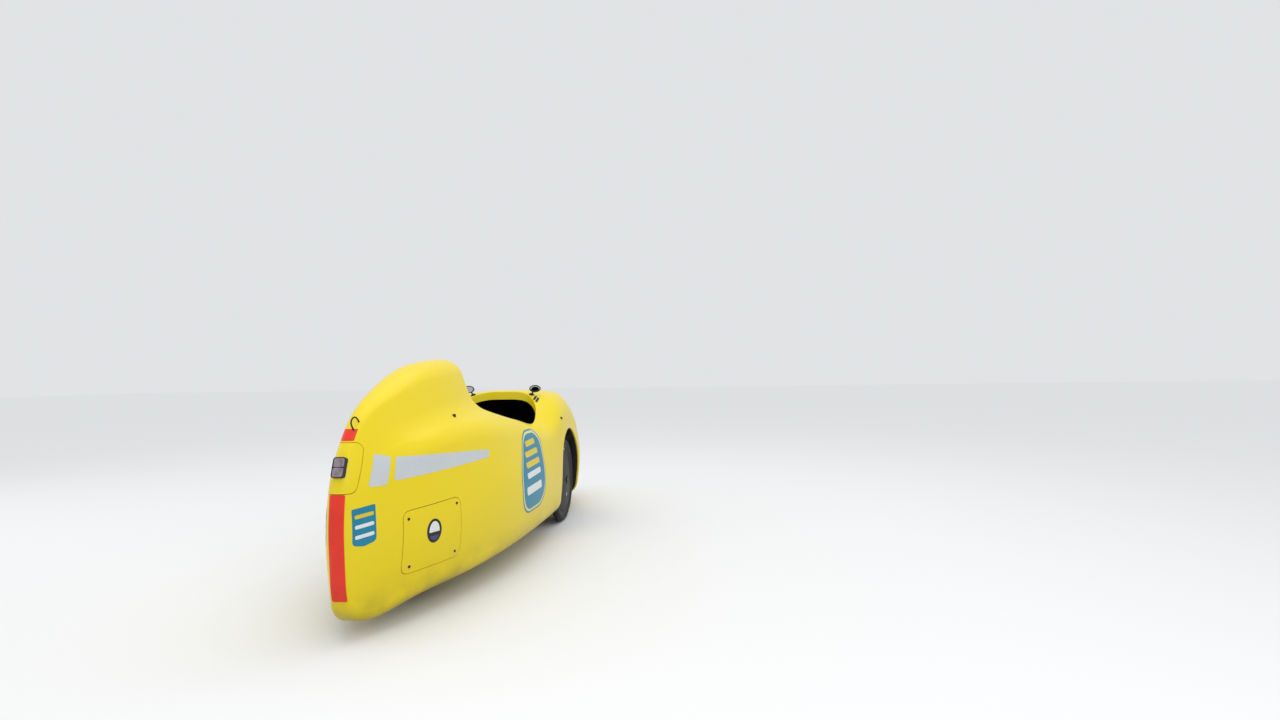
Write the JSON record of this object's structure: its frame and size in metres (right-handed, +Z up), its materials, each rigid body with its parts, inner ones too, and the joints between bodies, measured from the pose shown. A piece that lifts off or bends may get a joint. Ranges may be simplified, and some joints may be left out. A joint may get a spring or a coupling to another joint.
{
  "type": "velomobile",
  "caption": "Three-wheeled recumbent cycle in a closed yellow shell with a head fairing, open cockpit, steered front wheels and pedal drive.",
  "frame": {"origin": "on the ground, below the middle of the shell's length and width", "axes": "+X forward towards the nose, +Y to the rider's left, +Z up"},
  "size_m": [2.7355, 0.764, 0.926],
  "materials": {
    "yellow_shell": "glossy yellow gelcoat",
    "clear_lens": "clear moulded lens",
    "dark_lens": "smoked red lamp in a black frame",
    "red_tape": "red reflective tape",
    "carbon": "bare carbon laminate",
    "alloy": "satin aluminium",
    "black_alloy": "black anodised",
    "black_disc": "smooth black wheel cover",
    "tyre": "black rubber tyre",
    "black_plastic": "moulded black plastic",
    "grip": "soft black grips",
    "steel_chain": "oiled steel chain",
    "foam_pad": "black mesh over foam",
    "cable": "black cable sheath"
  },
  "bodies": {
    "chassis": {"axle_bridge": "alloy", "chain": "steel_chain", "cockpit_rim": "yellow_shell", "control_arm_left": "alloy", "control_arm_right": "alloy", "cover_studs": "black_plastic", "crank_mast": "carbon", "front_deck": "yellow_shell", "headlight_lens": "clear_lens", "idlers": "black_plastic", "light_cable": "cable", "lower_shell": "yellow_shell", "mirror_left": "black_plastic", "mirror_right": "black_plastic", "rear_light": "dark_lens", "rear_shock": "black_alloy", "rear_swingarm": "alloy", "rear_wheel_box": "carbon", "seat_pad": "foam_pad", "seat_shell": "carbon", "service_hatch": "yellow_shell", "strut_rod_left": "alloy", "strut_rod_right": "alloy", "tail_cap": "yellow_shell", "tail_deck": "yellow_shell", "tail_reflector": "red_tape", "upper_reflector": "red_tape", "wheel_box_left": "carbon", "wheel_box_right": "carbon"},
    "knuckle_left_body": {"knuckle_left": "black_alloy"},
    "knuckle_right_body": {"knuckle_right": "black_alloy"},
    "wheel_left": {"front_tyre_left": "tyre", "wheel_disc_left": "black_disc"},
    "wheel_right": {"front_tyre_right": "tyre", "wheel_disc_right": "black_disc"},
    "rear_wheel": {"rear_tyre": "tyre", "rear_rim": "alloy", "rear_sprockets": "alloy"},
    "steering": {"tiller": "alloy", "tiller_grips": "grip"},
    "rod_left": {"tie_rod_left": "alloy"},
    "rod_right": {"tie_rod_right": "alloy"},
    "cranks": {"crankset": "alloy"},
    "foot_left": {"pedal_left": "black_plastic"},
    "foot_right": {"pedal_right": "black_plastic"}
  },
  "joints": [
    {"name": "steer", "type": "hinge", "parent": "chassis", "child": "steering", "pos_m": [0.44, 0, 0.2], "axis": [0, 0, 1], "range_deg": [-18, 18]},
    {"name": "kingpin_left", "type": "hinge", "parent": "chassis", "child": "knuckle_left_body", "pos_m": [0.44, 0.315, 0], "axis": [0, -0.2234, 0.9747], "range_deg": [-18, 18]},
    {"name": "kingpin_right", "type": "hinge", "parent": "chassis", "child": "knuckle_right_body", "pos_m": [0.44, -0.315, 0], "axis": [0, 0.2234, 0.9747], "range_deg": [-18, 18]},
    {"name": "rod_left_pivot", "type": "hinge", "parent": "steering", "child": "rod_left", "pos_m": [0.5, 0, 0.15], "axis": [0, 0, 1], "range_deg": [-18, 18]},
    {"name": "rod_right_pivot", "type": "hinge", "parent": "steering", "child": "rod_right", "pos_m": [0.5, 0, 0.15], "axis": [0, 0, 1], "range_deg": [-18, 18]},
    {"name": "roll_left", "type": "hinge", "parent": "knuckle_left_body", "child": "wheel_left", "pos_m": [0.44, 0.315, 0.24], "axis": [0, 1, 0], "continuous": true},
    {"name": "roll_right", "type": "hinge", "parent": "knuckle_right_body", "child": "wheel_right", "pos_m": [0.44, -0.315, 0.24], "axis": [0, 1, 0], "continuous": true},
    {"name": "roll_rear", "type": "hinge", "parent": "chassis", "child": "rear_wheel", "pos_m": [-0.85, 0, 0.307], "axis": [0, 1, 0], "continuous": true},
    {"name": "pedalling", "type": "hinge", "parent": "chassis", "child": "cranks", "pos_m": [0.88, 0, 0.355], "axis": [0, 1, 0], "continuous": true},
    {"name": "pedal_left_turn", "type": "hinge", "parent": "cranks", "child": "foot_left", "pos_m": [0.725, 0.1, 0.355], "axis": [0, 1, 0], "continuous": true},
    {"name": "pedal_right_turn", "type": "hinge", "parent": "cranks", "child": "foot_right", "pos_m": [1.035, -0.1, 0.355], "axis": [0, 1, 0], "continuous": true}
  ],
  "couplings": [
    {"joint": "kingpin_left", "follows": "steer", "ratio": 1},
    {"joint": "kingpin_right", "follows": "steer", "ratio": 1},
    {"joint": "rod_left_pivot", "follows": "steer", "ratio": -1},
    {"joint": "rod_right_pivot", "follows": "steer", "ratio": -1}
  ]
}
